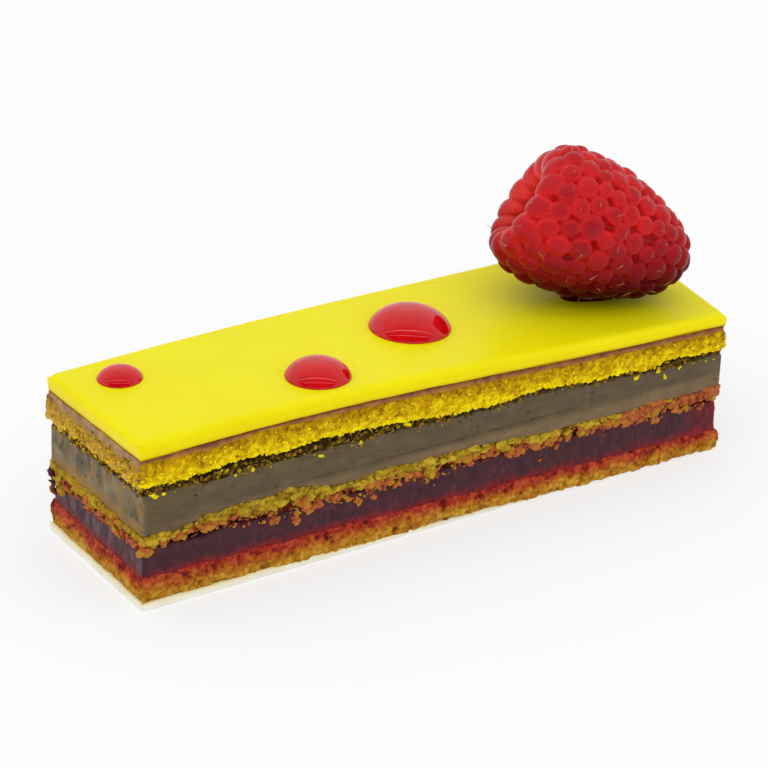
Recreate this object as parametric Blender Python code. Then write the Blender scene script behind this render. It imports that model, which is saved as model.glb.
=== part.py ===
"""A cut slice of opera cake: five baked and set layers, a glaze, jelly dots and a raspberry.

Metres, +Z up. The slice lies along X with its near cut face at -Y, and stands on Z = 0 under
the middle of its box. The layers share their interfaces, which rise and fall together, so
each one is a slab between two of the surfaces that height_of() gives.
"""

import math
import random

import bmesh
import bpy
from mathutils import Vector

MM = 0.001

# Plan of the slice. It was cut by hand, so it widens towards its right end.
LEFT_X = -45.35 * MM
RIGHT_X = 44.45 * MM
LEFT_WIDTH = 23.8 * MM
RIGHT_WIDTH = 28.0 * MM
LEFT_SKEW = 0.28 * MM
RIGHT_SKEW = 1.19 * MM
LEFT_MIDDLE_Y = -0.2 * MM

# Heights of the glaze's top and underside at the four corners (near left, near right, far
# left, far right), and the bow that lifts the middle of the near side more than the far one.
GLAZE_TOP = (23.3 * MM, 20.7 * MM, 22.75 * MM, 21.3 * MM)
GLAZE_UNDERSIDE = (20.95 * MM, 18.85 * MM, 20.25 * MM, 19.0 * MM)
NEAR_BOW = 0.85 * MM
NEAR_LEAN = 0.35 * MM
FAR_SHARE = 0.5

GLAZE_ROUND_WIDTH = 1.0 * MM
GLAZE_ROUND_DROP = 0.6 * MM
BASE_LEFT = 1.1 * MM
BASE_RIGHT = 0.5 * MM
BASE_PROUD = 0.4 * MM
BASE_TUCK = 1.2 * MM
GAP = 0.3 * MM

# The other interfaces, as shares of the height of the glaze's underside at the left and the
# right end.
JELLY_UNDERSIDE = (0.214, 0.162)
JELLY_TOP = (0.388, 0.397)
GANACHE_UNDERSIDE = (0.508, 0.523)
GANACHE_TOP = (0.800, 0.808)
SPONGE_TOP = (0.972, 0.960)

# Jelly dots on the glaze: middle x, middle y, radius, height.
DOTS = {
    "jelly_dot_small": (-38.6 * MM, 5.5 * MM, 2.95 * MM, 1.25 * MM),
    "jelly_dot_medium": (-16.8 * MM, -6.8 * MM, 4.3 * MM, 1.9 * MM),
    "jelly_dot_large": (1.8 * MM, 0.6 * MM, 5.5 * MM, 2.5 * MM),
}
DAB = (29.9 * MM, -0.1 * MM, 3.6 * MM, 0.3 * MM)

# The raspberry: a hollow cone of drupelets that lies on its side, open end to the left.
BERRY_X = 30.4 * MM
BERRY_Y = -2.2 * MM
BERRY_TILT = math.radians(67.3)
BERRY_TURN = math.radians(151.7)
BERRY_LENGTH = 25.4 * MM
DRUPELET_RADIUS = 1.75 * MM
DRUPELET_REACH = 1.6 * MM
HOLLOW_RELIEF = 0.3
RIM_DROOP = 1.3 * MM
# Distance from the open end and radius of the surface that the drupelets sit on: the outside
# from the tip to the rim, and the hollow from the rim to its bottom.
BERRY_OUTSIDE = (
    (23.8 * MM, 0.0),
    (22.9 * MM, 2.1 * MM),
    (21.2 * MM, 3.9 * MM),
    (18.5 * MM, 5.3 * MM),
    (15.0 * MM, 6.6 * MM),
    (11.0 * MM, 7.7 * MM),
    (7.0 * MM, 8.0 * MM),
    (3.6 * MM, 7.6 * MM),
    (1.6 * MM, 6.2 * MM),
)
BERRY_HOLLOW = (
    (1.6 * MM, 6.2 * MM),
    (3.4 * MM, 4.9 * MM),
    (8.5 * MM, 4.5 * MM),
    (13.0 * MM, 3.2 * MM),
    (15.4 * MM, 0.0),
)
DRUPELET_CUTS = 3
OUTSIDE_ROWS = 11
HOLLOW_ROWS = 4
OUTSIDE_PITCH = 2.9 * MM
HOLLOW_PITCH = 4.4 * MM


def clear_scene():
    for old in list(bpy.data.objects):
        bpy.data.objects.remove(old, do_unlink=True)


def material(name, colour, roughness):
    made = bpy.data.materials.new(name)
    made.use_nodes = True
    shader = made.node_tree.nodes["Principled BSDF"]
    shader.inputs["Base Color"].default_value = (*colour, 1.0)
    shader.inputs["Roughness"].default_value = roughness
    shader.inputs["Metallic"].default_value = 0.0
    return made


def add_object(name, bm, colour, roughness, smooth_angle):
    bmesh.ops.recalc_face_normals(bm, faces=bm.faces)
    mesh = bpy.data.meshes.new(name)
    bm.to_mesh(mesh)
    bm.free()
    mesh.materials.append(material(name, colour, roughness))
    mesh.shade_smooth()
    mesh.set_sharp_from_angle(angle=smooth_angle)
    made = bpy.data.objects.new(name, mesh)
    bpy.context.scene.collection.objects.link(made)
    return made


def mix(a, b, share):
    return a + (b - a) * share


def wave(along, phase):
    """A gentle irregular ripple between -1 and 1 over a length in metres."""
    x = along / MM
    return 0.5 * math.sin(0.47 * x + phase) + 0.5 * math.sin(0.81 * x + 2.3 * phase)


def plan(u, v):
    """The point of the slice's plan at u from its left to its right end, v from near to far."""
    skew = mix(LEFT_SKEW, -RIGHT_SKEW, u)
    x = mix(LEFT_X, RIGHT_X, u) + skew * (1 - 2 * v)
    width = mix(LEFT_WIDTH, RIGHT_WIDTH, u)
    y = mix(LEFT_MIDDLE_Y, 0.0, u) + width * (v - 0.5)
    return x, y


def bowed(corners, u, v):
    """The height of a sheet that is bowed between its four corner heights."""
    near_left, near_right, far_left, far_right = corners
    flat = mix(mix(near_left, near_right, u), mix(far_left, far_right, u), v)
    bow = NEAR_BOW * math.sin(math.pi * u) + NEAR_LEAN * math.sin(2 * math.pi * u)
    return flat + bow * mix(1.0, FAR_SHARE, v)


def height_of(shares, u, v, phase=0.0, ripple=0.0):
    """The height of an interface that is a share of the glaze's underside."""
    x, y = plan(u, v)
    share = mix(shares[0], shares[1], u)
    return bowed(GLAZE_UNDERSIDE, u, v) * share + ripple * wave(x + 0.7 * y, phase)


def top_at(x, y):
    """The height of the glaze's top at a point away from its rounded edge."""
    u = (x - LEFT_X) / (RIGHT_X - LEFT_X)
    width = mix(LEFT_WIDTH, RIGHT_WIDTH, u)
    v = (y - mix(LEFT_MIDDLE_Y, 0.0, u)) / width + 0.5
    return bowed(GLAZE_TOP, u, v)


def stations(length, edge_steps, inner):
    """Shares of a length: close steps in from both ends and even ones between them."""
    near = [step / length for step in edge_steps]
    span = 1 - 2 * near[-1]
    between = [near[-1] + span * i / inner for i in range(1, inner)]
    return near + between + [1 - share for share in reversed(near)]


def slab(low, high, edge, edge_steps, along=18, across=2, rows=1):
    """A closed slab between low(u, v) and high(u, v); edge(u, v, level) moves its rim outwards."""
    us = stations(RIGHT_X - LEFT_X, edge_steps, along)
    vs = stations(LEFT_WIDTH, edge_steps, across)
    columns, lines = len(us) - 1, len(vs) - 1
    bm = bmesh.new()
    bmesh.ops.create_grid(bm, x_segments=columns, y_segments=lines, size=0.5)
    raised = bmesh.ops.extrude_face_region(bm, geom=bm.faces[:])
    top = [part for part in raised["geom"] if isinstance(part, bmesh.types.BMVert)]
    bmesh.ops.translate(bm, verts=top, vec=(0, 0, 1))
    if rows > 1:
        upright = [e for e in bm.edges if abs(e.verts[0].co.z - e.verts[1].co.z) > 0.5]
        bmesh.ops.subdivide_edges(bm, edges=upright, cuts=rows - 1)
    for vert in bm.verts:
        u = us[round((vert.co.x + 0.5) * columns)]
        v = vs[round((vert.co.y + 0.5) * lines)]
        level = vert.co.z
        x, y = plan(u, v)
        out = edge(u, v, level)
        x += out * ((u == 1) - (u == 0))
        y += out * ((v == 1) - (v == 0))
        vert.co = (x, y, mix(low(u, v), high(u, v), level))
    return bm


def rough_edge(inset, roughness, phase):
    """A cut face set back by inset, with lumps that stand in and out of it."""
    def edge(u, v, level):
        x, y = plan(u, v)
        return roughness * wave(1.3 * x + 2.1 * y, phase + 2.5 * level) - inset
    return edge


def layer(name, under, over, phases, ripple, edge, colour, roughness):
    """One slab between two interfaces, with half a gap kept free on both sides."""
    def low(u, v):
        return height_of(under, u, v, phases[0], ripple[0]) + GAP / 2

    def high(u, v):
        return height_of(over, u, v, phases[1], ripple[1]) - GAP / 2

    bm = slab(low, high, edge, (0.0, 2.5 * MM), rows=2)
    add_object(name, bm, colour, roughness, math.radians(50))


def base_top(u, v):
    return mix(BASE_LEFT, BASE_RIGHT, u)


def build_base():
    """The thin white coat under the slice: proud of it at the left, tucked in at the right."""
    def edge(u, v, level):
        side = mix(BASE_PROUD, -BASE_TUCK, u) if v == 0 else BASE_PROUD
        return side if u < 1 else -BASE_TUCK / 2

    bm = slab(lambda u, v: 0.0, base_top, edge, (0.0, 2.5 * MM), along=10, across=1)
    add_object("white_chocolate_base", bm, (0.78, 0.74, 0.60), 0.45, math.radians(40))


def build_bottom_sponge():
    def low(u, v):
        return base_top(u, v) + GAP

    def high(u, v):
        return height_of(JELLY_UNDERSIDE, u, v, 0.6, 0.15 * MM) - GAP / 2

    bm = slab(low, high, rough_edge(-0.15 * MM, 0.15 * MM, 1.9), (0.0, 2.5 * MM), rows=2)
    add_object("bottom_sponge", bm, (0.48, 0.19, 0.02), 0.8, math.radians(50))


def build_layers():
    """The raspberry jelly, the middle sponge, the ganache and the top sponge."""
    layer("raspberry_jelly", JELLY_UNDERSIDE, JELLY_TOP, (0.6, 2.2), (0.15 * MM, 0.35 * MM),
          rough_edge(0.35 * MM, 0.1 * MM, 0.4), (0.06, 0.012, 0.02), 0.35)
    layer("middle_sponge", JELLY_TOP, GANACHE_UNDERSIDE, (2.2, 4.1), (0.35 * MM, 0.3 * MM),
          rough_edge(0.35 * MM, 0.35 * MM, 3.3), (0.42, 0.2, 0.02), 0.85)
    layer("chocolate_ganache", GANACHE_UNDERSIDE, GANACHE_TOP, (4.1, 5.2),
          (0.3 * MM, 0.2 * MM), rough_edge(0.1 * MM, 0.05 * MM, 5.7), (0.1, 0.075, 0.035), 0.5)
    layer("top_sponge", GANACHE_TOP, SPONGE_TOP, (5.2, 0.0), (0.2 * MM, 0.0),
          rough_edge(0.1 * MM, 0.25 * MM, 0.9), (0.68, 0.47, 0.01), 0.85)


def build_cream_and_glaze():
    """The thin chocolate cream under the glaze, and the glaze with its rounded upper edge."""
    def cream_low(u, v):
        return height_of(SPONGE_TOP, u, v) + GAP / 2

    def cream_high(u, v):
        return bowed(GLAZE_UNDERSIDE, u, v) - GAP / 2

    bm = slab(cream_low, cream_high, rough_edge(0.15 * MM, 0.05 * MM, 2.7), (0.0, 2.5 * MM))
    add_object("thin_chocolate_cream", bm, (0.3, 0.12, 0.05), 0.55, math.radians(50))

    def inwards(share, length):
        """How far into the rounded edge a point lies: 1 on the face, 0 past the rounding."""
        return max(0.0, 1 - min(share, 1 - share) * length / GLAZE_ROUND_WIDTH)

    def glaze_high(u, v):
        depth = math.hypot(inwards(u, RIGHT_X - LEFT_X), inwards(v, LEFT_WIDTH))
        drop = GLAZE_ROUND_DROP * (1 - math.sqrt(max(0.0, 1 - depth * depth)))
        return bowed(GLAZE_TOP, u, v) - drop

    def glaze_low(u, v):
        return bowed(GLAZE_UNDERSIDE, u, v) + GAP / 2

    steps = (0.0, 0.1 * MM, 0.4 * MM, GLAZE_ROUND_WIDTH)
    bm = slab(glaze_low, glaze_high, rough_edge(0.0, 0.04 * MM, 1.2), steps)
    add_object("yellow_glaze", bm, (0.87, 0.78, 0.0), 0.15, math.radians(50))


def build_drop(name, middle_x, middle_y, radius, height, segments):
    """A set drop of jelly: a low dome whose flat side follows the glaze."""
    ball = (radius * radius + height * height) / (2 * height)
    widest = math.asin(min(1.0, radius / ball))
    bm = bmesh.new()
    steps = 5
    points = [(0.0, 0.0)]
    for i in range(steps):
        angle = widest * (1 - i / steps)
        points.append((ball * math.sin(angle), ball * math.cos(angle) - ball + height))
    points.append((0.0, height))
    verts = [bm.verts.new((r, 0, z)) for r, z in points]
    edges = [bm.edges.new(pair) for pair in zip(verts, verts[1:])]
    bmesh.ops.spin(bm, geom=verts + edges, axis=(0, 0, 1), cent=(0, 0, 0), dvec=(0, 0, 0),
                   angle=2 * math.pi, steps=segments, use_merge=True)
    bmesh.ops.remove_doubles(bm, verts=bm.verts, dist=0.01 * MM)
    for vert in bm.verts:
        x, y = middle_x + vert.co.x, middle_y + vert.co.y
        vert.co = (x, y, top_at(x, y) + GAP + vert.co.z)
    add_object(name, bm, (0.6, 0.01, 0.02), 0.08, math.radians(40))


def smooth_path(points, count):
    """Points evenly spaced along a Catmull-Rom curve through the given ones."""
    ends = [2 * points[0] - points[1]] + points + [2 * points[-1] - points[-2]]
    fine = []
    for a, b, c, d in zip(ends, ends[1:], ends[2:], ends[3:]):
        for i in range(20):
            t = i / 20
            fine.append(0.5 * (2 * b + (c - a) * t + (2 * a - 5 * b + 4 * c - d) * t ** 2
                               + (3 * b - a - 3 * c + d) * t ** 3))
    fine.append(points[-1])
    lengths = [0.0]
    for before, after in zip(fine, fine[1:]):
        lengths.append(lengths[-1] + (after - before).length)
    path = []
    at = 0
    for i in range(count + 1):
        want = lengths[-1] * i / count
        while at < len(lengths) - 2 and lengths[at + 1] < want:
            at += 1
        share = (want - lengths[at]) / (lengths[at + 1] - lengths[at])
        path.append(fine[at].lerp(fine[at + 1], share))
    return path


def drupelet_rows():
    """Rings of drupelet middles in the berry's own frame, open end up, from the tip over the
    rim into the hollow. Each ring is turned by half a pitch against the one before."""
    draw = random.Random(11)
    rings = []
    for wall, rows, pitch in ((BERRY_OUTSIDE, OUTSIDE_ROWS, OUTSIDE_PITCH),
                              (BERRY_HOLLOW, HOLLOW_ROWS, HOLLOW_PITCH)):
        path = smooth_path([Vector((r, 0, BERRY_LENGTH / 2 - t)) for t, r in wall], rows)
        for point in path[1:]:
            count = max(1, round(2 * math.pi * point.x / pitch))
            turn = math.pi / count * (len(rings) % 2)
            ring = []
            for i in range(count):
                angle = turn + 2 * math.pi * (i + draw.uniform(-0.1, 0.1)) / count
                lift = draw.uniform(-0.25, 0.25) * MM
                ring.append(Vector((point.x * math.cos(angle), point.x * math.sin(angle),
                                    point.z + lift)))
            rings.append(ring)
    return rings


def closed_ring(bm, points):
    verts = [bm.verts.new(point) for point in points]
    return [bm.edges.new(pair) for pair in zip(verts, verts[1:] + verts[:1])]


def build_raspberry():
    rings = drupelet_rows()
    bottom = rings.pop()[0]
    bm = bmesh.new()
    loops = [closed_ring(bm, ring) for ring in rings]
    for first, second in zip(loops, loops[1:]):
        bmesh.ops.bridge_loops(bm, edges=first + second)
    ends = bmesh.ops.holes_fill(bm, edges=bm.edges[:])["faces"]
    centres = bmesh.ops.poke(bm, faces=ends)["verts"]
    tip = Vector((0, 0, BERRY_LENGTH / 2 - BERRY_OUTSIDE[0][0]))
    for centre in centres:
        centre.co = min((tip, bottom), key=lambda end: (centre.co - end).length)
    bmesh.ops.triangulate(bm, faces=bm.faces[:])
    bmesh.ops.recalc_face_normals(bm, faces=bm.faces)
    middles = [vert.co.copy() for vert in bm.verts]
    bmesh.ops.subdivide_edges(bm, edges=bm.edges[:], cuts=DRUPELET_CUTS, use_grid_fill=True)
    bm.normal_update()
    moved = []
    for vert in bm.verts:
        near = min((vert.co - middle).length for middle in middles)
        bulge = math.sqrt(DRUPELET_RADIUS ** 2 - min(near, DRUPELET_REACH) ** 2)
        outwards = vert.normal.dot(Vector((vert.co.x, vert.co.y, 0)).normalized())
        relief = mix(1.0, HOLLOW_RELIEF, min(1.0, max(0.0, -1.5 * outwards)))
        moved.append(vert.co + vert.normal * bulge * relief)
    for vert, place in zip(bm.verts, moved):
        around = math.atan2(place.y, place.x)
        rim = max(0.0, place.z / (BERRY_LENGTH / 2)) ** 2
        vert.co = place + Vector((0, 0, RIM_DROOP * rim * math.cos(around - 0.5)))
    berry = add_object("raspberry", bm, (0.5, 0.02, 0.03), 0.4, math.radians(80))
    berry.rotation_euler = (0, BERRY_TILT, BERRY_TURN)
    turn = berry.rotation_euler.to_matrix()
    lowest = min((turn @ vert.co).z for vert in berry.data.vertices)
    stands_on = top_at(BERRY_X, BERRY_Y) + GAP + DAB[3] + GAP
    berry.location = (BERRY_X, BERRY_Y, stands_on - lowest)


clear_scene()
build_base()
build_bottom_sponge()
build_layers()
build_cream_and_glaze()
for dot_name, dot in DOTS.items():
    build_drop(dot_name, *dot, segments=20)
build_drop("jelly_dab", *DAB, segments=16)
build_raspberry()
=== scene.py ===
import math
import random
from collections import namedtuple

import bmesh
import bpy
from mathutils import Matrix, Vector, noise
from mathutils.bvhtree import BVHTree
from mathutils.kdtree import KDTree


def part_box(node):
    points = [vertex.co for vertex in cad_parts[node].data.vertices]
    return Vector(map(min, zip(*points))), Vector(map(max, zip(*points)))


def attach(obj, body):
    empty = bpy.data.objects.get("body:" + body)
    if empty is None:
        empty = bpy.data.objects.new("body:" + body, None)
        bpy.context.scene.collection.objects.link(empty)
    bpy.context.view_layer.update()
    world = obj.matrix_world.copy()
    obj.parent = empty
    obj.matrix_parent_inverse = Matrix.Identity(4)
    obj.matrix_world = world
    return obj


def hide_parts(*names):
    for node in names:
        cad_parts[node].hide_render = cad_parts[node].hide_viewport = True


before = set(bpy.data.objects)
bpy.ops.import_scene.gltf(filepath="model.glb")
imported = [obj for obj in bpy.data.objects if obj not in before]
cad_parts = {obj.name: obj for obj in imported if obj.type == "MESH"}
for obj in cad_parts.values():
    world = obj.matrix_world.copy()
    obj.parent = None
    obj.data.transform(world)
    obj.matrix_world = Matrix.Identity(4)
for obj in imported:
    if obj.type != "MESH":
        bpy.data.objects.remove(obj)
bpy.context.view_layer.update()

MM = 0.001


# ---------------------------------------------------------------------------------------
# The studio: a white table top, lit from within a little, that runs on as the background.
# The room is an even white tent with one broad soft lamp and two thin tube lamps above.
# ---------------------------------------------------------------------------------------
ROOM_STRENGTH = 0.90
TABLE_SIZE = 6.0
TABLE_WHITE = 0.35
TABLE_GLOW = 0.61
CARD_WIDTH, CARD_HEIGHT, CARD_FAR, CARD_LEAN = 3.6, 2.4, 1.2, 25


def srgb(red, green, blue):
    """A colour given as eight-bit display values, as the linear values that a shader takes."""
    def linear(value):
        share = value / 255
        return share / 12.92 if share <= 0.04045 else ((share + 0.055) / 1.055) ** 2.4

    return (linear(red), linear(green), linear(blue), 1.0)


def new_material(name, colour, roughness, **settings):
    """A Principled material, its node tree and its shader."""
    material = bpy.data.materials.new(name)
    material.use_nodes = True
    shader = material.node_tree.nodes["Principled BSDF"]
    shader.inputs["Base Color"].default_value = colour
    shader.inputs["Roughness"].default_value = roughness
    for socket, value in settings.items():
        shader.inputs[socket.replace("_", " ")].default_value = value
    return material, material.node_tree, shader


def soft_lamp(name, place, aim, width, height, power):
    lamp = bpy.data.lights.new(name, "AREA")
    lamp.shape = "RECTANGLE"
    lamp.size = width
    lamp.size_y = height
    lamp.energy = power
    made = bpy.data.objects.new(name, lamp)
    made.location = place
    made.rotation_euler = (Vector(aim) - Vector(place)).to_track_quat("-Z", "Y").to_euler()
    bpy.context.scene.collection.objects.link(made)
    return made


scene = bpy.context.scene
scene.view_settings.view_transform = "Standard"
scene.view_settings.look = "None"

room = bpy.data.worlds.new("white_room")
room.use_nodes = True
background = room.node_tree.nodes["Background"]
background.inputs["Color"].default_value = (1.0, 1.0, 1.0, 1.0)
background.inputs["Strength"].default_value = ROOM_STRENGTH
scene.world = room

soft_lamp("lamp_above", (-0.15, 0.30, 0.75), (0, 0, 0), 0.6, 0.5, 0.4).visible_glossy = False
for name, offset in (("tube_near", -0.58), ("tube_far", -0.21)):
    tube = soft_lamp(name, (0.53 * offset, 0.85 * offset, 0.8), (0, 0, 0), 2.4, 0.05, 1.3)
    tube.rotation_euler = (0, 0, math.radians(-32.3))



def flat_sheet(name, width, height, place):
    """A sheet of the studio; its attribute "far_edge" runs from 0 to 1 up its height."""
    bm = bmesh.new()
    bmesh.ops.create_grid(bm, x_segments=1, y_segments=1, size=0.5)
    far_edge = bm.verts.layers.float.new("far_edge")
    for vert in bm.verts:
        vert[far_edge] = vert.co.y + 0.5
        vert.co = place @ Vector((vert.co.x * width, vert.co.y * height, 0))
    mesh = bpy.data.meshes.new(name)
    bm.to_mesh(mesh)
    bm.free()
    sheet = bpy.data.objects.new(name, mesh)
    bpy.context.scene.collection.objects.link(sheet)
    return sheet


table_top = flat_sheet("table_top", TABLE_SIZE, TABLE_SIZE, Matrix.Identity(4))
table_top.data.materials.append(new_material(
    "lit_white", (TABLE_WHITE, TABLE_WHITE, TABLE_WHITE, 1.0), 0.9, Specular_IOR_Level=0.0,
    Emission_Color=(1.0, 1.0, 1.0, 1.0), Emission_Strength=TABLE_GLOW)[0])

# A dark card high in front, white towards its upper edge, that only shines back from wet
# things: it takes the white off the near side of the dots and the berry.
card = flat_sheet("dark_card", CARD_WIDTH, CARD_HEIGHT,
                  Matrix.Rotation(math.radians(-32.3), 4, "Z")
                  @ Matrix.Rotation(math.radians(CARD_LEAN), 4, "X")
                  @ Matrix.Translation((0, 0, CARD_FAR)))
card.visible_camera = False
card.visible_diffuse = False
card.visible_transmission = False
card.visible_volume_scatter = False
card.visible_shadow = False
material, tree, shader = new_material("shaded_card", (0, 0, 0, 1), 1.0, Specular_IOR_Level=0.0,
                                      Emission_Color=(1.0, 1.0, 1.0, 1.0))
fade = tree.nodes.new("ShaderNodeMapRange")
fade.interpolation_type = "SMOOTHSTEP"
edge = tree.nodes.new("ShaderNodeAttribute")
edge.attribute_name = "far_edge"
tree.links.new(edge.outputs["Fac"], fade.inputs["Value"])
fade.inputs["From Min"].default_value = 0.3
fade.inputs["To Min"].default_value = 0.05
fade.inputs["To Max"].default_value = ROOM_STRENGTH
tree.links.new(fade.outputs["Result"], shader.inputs["Emission Strength"])
card.data.materials.append(material)

camera = bpy.data.cameras.new("camera")
camera.sensor_width = 36.0
camera.lens = 140.625
camera_object = bpy.data.objects.new("camera", camera)
RIGHTWARDS = Vector((0.8451, -0.5342, 0.0220))
UPWARDS = Vector((0.2264, 0.3947, 0.8905))
turn = Matrix((RIGHTWARDS, UPWARDS, RIGHTWARDS.cross(UPWARDS))).transposed().to_4x4()
camera_object.matrix_world = Matrix.Translation((-0.194032, -0.295727, 0.195217)) @ turn
scene.collection.objects.link(camera_object)
scene.camera = camera_object


# ---------------------------------------------------------------------------------------
# The white coat: a thin layer of white chocolate spread under the slice before it is cut,
# which stops it from sticking. It shows at the left end and along half the near side.
# ---------------------------------------------------------------------------------------
NEAR, RIGHT, FAR, LEFT = range(4)
Station = namedtuple("Station", "point out side run")


def corners_of(node):
    """The plan's four corners of a CAD layer, anticlockwise from the near left one."""
    points = [vert.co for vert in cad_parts[node].data.vertices]
    return [max(points, key=lambda p: x * p.x * 0.3 + y * p.y).to_2d()
            for x, y in ((-1, -1), (1, -1), (1, 1), (-1, 1))]


def outline_of(node, step, rounding=3):
    """Stations round a CAD layer's plan: a point, the way out of the layer there, the side
    that it is on and how far along that side, in millimetres."""
    corners = corners_of(node)
    ring, sides, runs = [], [], []
    for side, (start, end) in enumerate(zip(corners, corners[1:] + corners[:1])):
        length = (end - start).length
        count = round(length / step)
        ring += [start.lerp(end, i / count) for i in range(count)]
        sides += [side] * count
        runs += [length * i / count / MM for i in range(count)]
    for _ in range(rounding):
        ring = [(a + 2 * b + c) / 4 for a, b, c in zip(ring[-1:] + ring, ring, ring[1:] + ring[:1])]
    outwards = []
    for before, after in zip(ring[-1:] + ring[:-1], ring[1:] + ring[:1]):
        along = (after - before).normalized()
        outwards.append(Vector((along.y, -along.x, 0)))
    return [Station(*each) for each in zip(ring, outwards, sides, runs)]


def solid_of(node):
    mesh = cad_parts[node].data
    return BVHTree.FromPolygons([vert.co for vert in mesh.vertices],
                                [face.vertices for face in mesh.polygons])


def heights_of(node, stations, inset=0.7 * MM):
    """The underside and the top of a CAD layer just inside each of its stations."""
    solid = solid_of(node)
    levels = []
    for station in stations:
        at = station.point.to_3d() - station.out * inset
        low = solid.ray_cast(at - Vector((0, 0, 1)), Vector((0, 0, 1)))[0].z
        high = solid.ray_cast(at + Vector((0, 0, 1)), Vector((0, 0, -1)))[0].z
        levels.append((low, high))
    return levels


def grains(at, size):
    """Rounded grains that lie side by side: 1 on top of each and 0 between them."""
    nearest = noise.voronoi(at / size)[0][0]
    return math.sqrt(max(0.0, 1 - (nearest / 0.8) ** 2))


def ripple(at, size):
    """A smooth irregular wave between about -1 and 1."""
    return noise.noise(at / size)


def along_edge(station, edge, elsewhere=0.0):
    """A height read off a line of (run, height) pairs for the near side; a plain value on
    the others, blended in over the last bit of the near side."""
    if station.side != NEAR:
        return elsewhere
    for (a, first), (b, second) in zip(edge, edge[1:]):
        if station.run <= b:
            share = (station.run - a) / (b - a)
            return first + (second - first) * share * share * (3 - 2 * share)
    return edge[-1][1]


def cut_layer(name, node, rows, relief, lips, step=0.18 * MM, overlap=0.15 * MM):
    """A closed layer that fills a CAD one. Its cut faces are a fine skin: relief(at,
    station, share) says in millimetres how far a point stands out and is raised, and gives
    its tone, soaking and smear. lips says how far in and up the skin runs on below and above."""
    stations = outline_of(node, step)
    levels = heights_of(node, stations)
    below, above = lips
    depths = [d for d, _ in reversed(below)] + [0.0] * (rows + 1) + [d for d, _ in above]
    lifts = [z for _, z in reversed(below)] + [0.0] * (rows + 1) + [z for _, z in above]
    shares = [0.0] * len(below) + [i / rows for i in range(rows + 1)] + [1.0] * len(above)
    count, last = len(stations), len(shares) - 1
    bm = bmesh.new()
    marks = [bm.verts.layers.float.new(mark) for mark in ("tone", "soak", "smear")]
    bmesh.ops.create_grid(bm, x_segments=count, y_segments=last, size=0.5)
    for vert in bm.verts:
        turn = round((vert.co.x + 0.5) * count) % count
        row = round((vert.co.y + 0.5) * last)
        station = stations[turn]
        low, high = levels[turn][0] - overlap, levels[turn][1] + overlap
        at = station.point.to_3d() - station.out * depths[row] * MM
        at.z = low + (high - low) * shares[row] + lifts[row] * MM
        stands, raised, *values = relief(at / MM, station, shares[row])
        for mark, value in zip(marks, values):
            vert[mark] = value
        vert.co = at + (station.out * stands + Vector((0, 0, raised))) * MM
    bmesh.ops.remove_doubles(bm, verts=bm.verts, dist=0.0001 * MM)
    bmesh.ops.holes_fill(bm, edges=[edge for edge in bm.edges if edge.is_boundary])
    bmesh.ops.recalc_face_normals(bm, faces=bm.faces)
    return finish_piece(name, bm)


def finish_piece(name, bm, flat_over=70):
    mesh = bpy.data.meshes.new(name)
    bm.to_mesh(mesh)
    bm.free()
    mesh.shade_smooth()
    mesh.set_sharp_from_angle(angle=math.radians(flat_over))
    made = bpy.data.objects.new(name, mesh)
    bpy.context.scene.collection.objects.link(made)
    return made


def stand_for(piece, slot, *nodes):
    """The piece takes the place of these CAD nodes; slot is not used."""
    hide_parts(*nodes)
    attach(piece, "root")


def set_socket(tree, socket, value):
    if isinstance(value, bpy.types.NodeSocket):
        tree.links.new(value, socket)
    else:
        socket.default_value = value


def attribute(tree, name):
    made = tree.nodes.new("ShaderNodeAttribute")
    made.attribute_name = name
    return made.outputs["Fac"]


def grain(tree, scale, detail=3.0, stretch=(1, 1, 1), distortion=0.0):
    """A noise on the piece's own coordinates; scale is in waves per millimetre."""
    where = tree.nodes.new("ShaderNodeTexCoord").outputs["Object"]
    mapping = tree.nodes.new("ShaderNodeMapping")
    mapping.inputs["Scale"].default_value = stretch
    tree.links.new(where, mapping.inputs["Vector"])
    made = tree.nodes.new("ShaderNodeTexNoise")
    made.inputs["Scale"].default_value = scale / MM
    made.inputs["Detail"].default_value = detail
    made.inputs["Distortion"].default_value = distortion
    tree.links.new(mapping.outputs["Vector"], made.inputs["Vector"])
    return made.outputs["Fac"]


def ramp(tree, value, *stops):
    """Colours at places between 0 and 1, picked by value."""
    made = tree.nodes.new("ShaderNodeValToRGB")
    while len(made.color_ramp.elements) < len(stops):
        made.color_ramp.elements.new(0.5)
    for element, (position, colour) in zip(made.color_ramp.elements, stops):
        element.position = position
        element.color = colour
    tree.links.new(value, made.inputs["Fac"])
    return made.outputs["Color"]


def spread(tree, value, low, high, to_low=0.0, to_high=1.0):
    made = tree.nodes.new("ShaderNodeMapRange")
    for socket, number in (("From Min", low), ("From Max", high), ("To Min", to_low),
                           ("To Max", to_high)):
        made.inputs[socket].default_value = number
    tree.links.new(value, made.inputs["Value"])
    return made.outputs["Result"]


def blend(tree, share, first, second):
    """Two colours mixed by a share."""
    made = tree.nodes.new("ShaderNodeMix")
    made.data_type = "RGBA"
    for socket, value in ((0, share), (6, first), (7, second)):
        set_socket(tree, made.inputs[socket], value)
    return made.outputs[2]


def combine(tree, way, first, second):
    made = tree.nodes.new("ShaderNodeMath")
    made.operation = way
    set_socket(tree, made.inputs[0], first)
    set_socket(tree, made.inputs[1], second)
    return made.outputs[0]


def bump(tree, shader, height, distance):
    made = tree.nodes.new("ShaderNodeBump")
    made.inputs["Distance"].default_value = distance * MM
    tree.links.new(height, made.inputs["Height"])
    tree.links.new(made.outputs["Normal"], shader.inputs["Normal"])


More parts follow.
